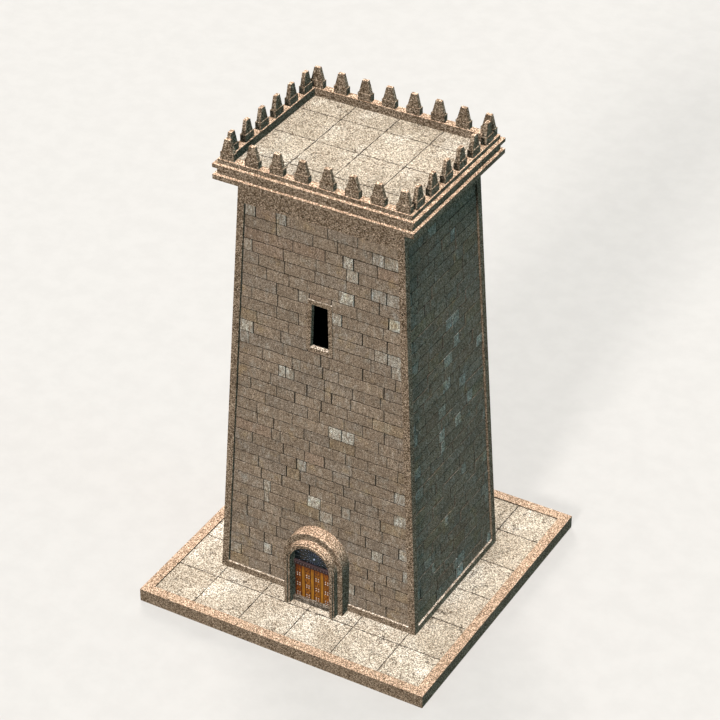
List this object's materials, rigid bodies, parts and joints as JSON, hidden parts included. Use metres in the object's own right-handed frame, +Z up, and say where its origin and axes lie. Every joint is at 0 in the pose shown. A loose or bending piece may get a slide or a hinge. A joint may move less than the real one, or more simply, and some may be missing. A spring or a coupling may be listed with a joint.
{
  "type": "castle keep",
  "caption": "Battered rectangular stone keep on a square paved plinth, with a stepped arched portal, a two-leaf door, a tall window, an overhanging cornice and tapered merlons",
  "frame": {"origin": "middle of the plinth's underside", "axes": "Z up, door faces -Y, X along the front from left to right"},
  "size_m": [15, 15, 23.74],
  "materials": {
    "wall_stone": "coursed ashlar, weathered",
    "trim_stone": "dressed stone, pitted",
    "plinth_stone": "rough",
    "paving_stone": "pitted slabs",
    "door_timber": "oiled boards",
    "dark_timber": "stained",
    "floor_timber": "plain boards",
    "dark_glass": "dark leaded"
  },
  "bodies": {
    "keep": {"back_cornice": "trim_stone", "back_kerb": "trim_stone", "back_left_corner_strip": "trim_stone", "back_merlons": "trim_stone", "back_parapet": "trim_stone", "back_right_corner_strip": "trim_stone", "back_wall": "wall_stone", "base_course": "trim_stone", "fanlight": "dark_glass", "frieze": "trim_stone", "front_cornice": "trim_stone", "front_kerb": "trim_stone", "front_left_corner_strip": "trim_stone", "front_merlons": "trim_stone", "front_parapet": "trim_stone", "front_right_corner_strip": "trim_stone", "front_wall_beside_door": "wall_stone", "front_wall_beside_window": "wall_stone", "front_wall_over_door": "wall_stone", "front_wall_over_window": "wall_stone", "left_cornice": "trim_stone", "left_kerb": "trim_stone", "left_merlons": "trim_stone", "left_parapet": "trim_stone", "left_wall": "wall_stone", "plinth_core": "plinth_stone", "plinth_paving": "paving_stone", "portal_inner_arch": "trim_stone", "portal_inner_jambs": "trim_stone", "portal_outer_arch": "trim_stone", "portal_outer_jambs": "trim_stone", "right_cornice": "trim_stone", "right_kerb": "trim_stone", "right_merlons": "trim_stone", "right_parapet": "trim_stone", "right_wall": "wall_stone", "terrace_deck": "paving_stone", "threshold": "trim_stone", "transom": "dark_timber", "upper_floor": "floor_timber", "window_breast": "wall_stone", "window_jambs": "trim_stone", "window_lintel": "trim_stone", "window_sill": "trim_stone"},
    "left_leaf": {"left_door_leaf": "door_timber"},
    "right_leaf": {"right_door_leaf": "door_timber"}
  },
  "joints": [
    {"name": "left_leaf_hinge", "type": "hinge", "parent": "keep", "child": "left_leaf", "pos_m": [-0.915, -4.29, 0.83], "axis": [0, 0, 1], "range_deg": [0, 90]},
    {"name": "right_leaf_hinge", "type": "hinge", "parent": "keep", "child": "right_leaf", "pos_m": [1.075, -4.29, 0.83], "axis": [0, 0, -1], "range_deg": [0, 90]}
  ]
}
